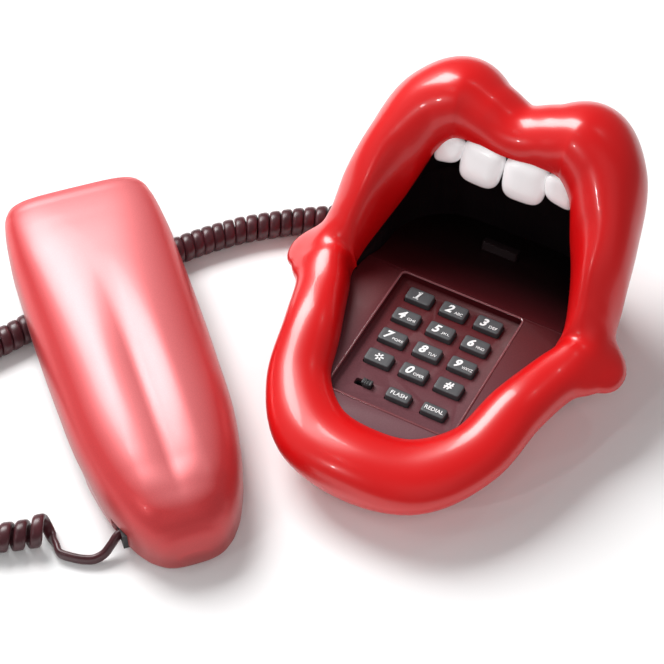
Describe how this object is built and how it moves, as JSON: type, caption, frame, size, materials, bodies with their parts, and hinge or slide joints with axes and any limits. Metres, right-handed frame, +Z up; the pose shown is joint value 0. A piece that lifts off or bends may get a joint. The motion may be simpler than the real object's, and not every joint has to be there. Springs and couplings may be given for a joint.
{
  "type": "novelty telephone",
  "caption": "Desk telephone shaped as an open mouth with a push-button dial inside the lips and a tongue-shaped handset on a curly cord.",
  "frame": {"origin": "middle of the footprint of the base and the handset lying beside it, on the table", "axes": "+Z up; +Y from the lower lip to the upper lip; +X to the right as seen by the person who dials, away from the handset"},
  "size_m": [0.2938, 0.2855, 0.1098],
  "materials": {
    "lips_red": "high gloss bright red moulded plastic",
    "tongue_pink": "glossy pearl salmon pink moulded plastic",
    "tongue_under": "satin pink moulded plastic",
    "mouth_burgundy": "fine textured burgundy plastic",
    "mouth_black": "dark burgundy black plastic",
    "tooth_white": "glossy white plastic",
    "key_charcoal": "satin charcoal plastic with white legends",
    "base_black": "satin black plastic",
    "foot_rubber": "matt black rubber",
    "screw_steel": "zinc plated steel",
    "weight_steel": "bare steel plate",
    "board_green": "lacquered circuit board",
    "chip_black": "moulded component cases",
    "sounder_metal": "pressed aluminium",
    "membrane_rubber": "translucent silicone rubber",
    "cord_maroon": "satin dark maroon vinyl",
    "plug_clear": "clear polycarbonate",
    "wire_red": "vinyl insulated wire"
  },
  "bodies": {
    "base": {"lips_shell": "lips_red", "base_pan": "base_black", "mouth_tray": "mouth_burgundy", "mouth_liner": "mouth_black", "keypad_panel": "mouth_burgundy", "teeth_strip": "tooth_white", "keypad_membrane": "membrane_rubber", "main_board": "board_green", "board_parts": "chip_black", "ringer": "sounder_metal", "ballast_plate": "weight_steel", "tone_switch_body": "base_black", "hook_spring": "screw_steel", "hook_switch_body": "base_black", "line_jack": "base_black", "cord_jack": "base_black", "rubber_feet": "foot_rubber", "base_screws": "screw_steel", "panel_screws": "screw_steel", "plug_base": "plug_clear", "cord_lead_base": "cord_maroon", "cord_coil": "cord_maroon"},
    "handset": {"tongue_shell": "tongue_pink", "handset_base": "tongue_under", "ear_receiver": "sounder_metal", "mic_capsule": "sounder_metal", "handset_weight": "weight_steel", "handset_jack": "base_black", "handset_screws": "screw_steel", "handset_wires": "wire_red", "plug_handset": "plug_clear", "cord_lead_handset": "cord_maroon"},
    "hook": {"hook_plunger": "mouth_burgundy"},
    "tone_knob": {"tone_switch_knob": "key_charcoal"},
    "key_1_body": {"key_1": "key_charcoal"},
    "key_2_body": {"key_2": "key_charcoal"},
    "key_3_body": {"key_3": "key_charcoal"},
    "key_4_body": {"key_4": "key_charcoal"},
    "key_5_body": {"key_5": "key_charcoal"},
    "key_6_body": {"key_6": "key_charcoal"},
    "key_7_body": {"key_7": "key_charcoal"},
    "key_8_body": {"key_8": "key_charcoal"},
    "key_9_body": {"key_9": "key_charcoal"},
    "key_star_body": {"key_star": "key_charcoal"},
    "key_0_body": {"key_0": "key_charcoal"},
    "key_hash_body": {"key_hash": "key_charcoal"},
    "key_flash_body": {"key_flash": "key_charcoal"},
    "key_redial_body": {"key_redial": "key_charcoal"}
  },
  "joints": [
    {"name": "key_1_press", "type": "slide", "parent": "base", "child": "key_1_body", "axis": [0, 0, -1], "range_m": [0, 0.0012], "stiffness_N_per_m": 400, "springref_m": -0.001},
    {"name": "key_2_press", "type": "slide", "parent": "base", "child": "key_2_body", "axis": [0, 0, -1], "range_m": [0, 0.0012], "stiffness_N_per_m": 400, "springref_m": -0.001},
    {"name": "key_3_press", "type": "slide", "parent": "base", "child": "key_3_body", "axis": [0, 0, -1], "range_m": [0, 0.0012], "stiffness_N_per_m": 400, "springref_m": -0.001},
    {"name": "key_4_press", "type": "slide", "parent": "base", "child": "key_4_body", "axis": [0, 0, -1], "range_m": [0, 0.0012], "stiffness_N_per_m": 400, "springref_m": -0.001},
    {"name": "key_5_press", "type": "slide", "parent": "base", "child": "key_5_body", "axis": [0, 0, -1], "range_m": [0, 0.0012], "stiffness_N_per_m": 400, "springref_m": -0.001},
    {"name": "key_6_press", "type": "slide", "parent": "base", "child": "key_6_body", "axis": [0, 0, -1], "range_m": [0, 0.0012], "stiffness_N_per_m": 400, "springref_m": -0.001},
    {"name": "key_7_press", "type": "slide", "parent": "base", "child": "key_7_body", "axis": [0, 0, -1], "range_m": [0, 0.0012], "stiffness_N_per_m": 400, "springref_m": -0.001},
    {"name": "key_8_press", "type": "slide", "parent": "base", "child": "key_8_body", "axis": [0, 0, -1], "range_m": [0, 0.0012], "stiffness_N_per_m": 400, "springref_m": -0.001},
    {"name": "key_9_press", "type": "slide", "parent": "base", "child": "key_9_body", "axis": [0, 0, -1], "range_m": [0, 0.0012], "stiffness_N_per_m": 400, "springref_m": -0.001},
    {"name": "key_star_press", "type": "slide", "parent": "base", "child": "key_star_body", "axis": [0, 0, -1], "range_m": [0, 0.0012], "stiffness_N_per_m": 400, "springref_m": -0.001},
    {"name": "key_0_press", "type": "slide", "parent": "base", "child": "key_0_body", "axis": [0, 0, -1], "range_m": [0, 0.0012], "stiffness_N_per_m": 400, "springref_m": -0.001},
    {"name": "key_hash_press", "type": "slide", "parent": "base", "child": "key_hash_body", "axis": [0, 0, -1], "range_m": [0, 0.0012], "stiffness_N_per_m": 400, "springref_m": -0.001},
    {"name": "key_flash_press", "type": "slide", "parent": "base", "child": "key_flash_body", "axis": [0, 0, -1], "range_m": [0, 0.0012], "stiffness_N_per_m": 400, "springref_m": -0.001},
    {"name": "key_redial_press", "type": "slide", "parent": "base", "child": "key_redial_body", "axis": [0, 0, -1], "range_m": [0, 0.0012], "stiffness_N_per_m": 400, "springref_m": -0.001},
    {"name": "tone_slide", "type": "slide", "parent": "base", "child": "tone_knob", "axis": [-1, 0, 0], "range_m": [0, 0.0034]},
    {"name": "hook_press", "type": "slide", "parent": "base", "child": "hook", "axis": [0, -0.2924, -0.9563], "range_m": [0, 0.003], "stiffness_N_per_m": 120, "springref_m": -0.003, "deforming": ["hook_spring"]},
    {"name": "handset_lift", "type": "slide", "parent": "base", "child": "handset", "axis": [0, 0, 1], "range_m": [0, 0.15]}
  ]
}
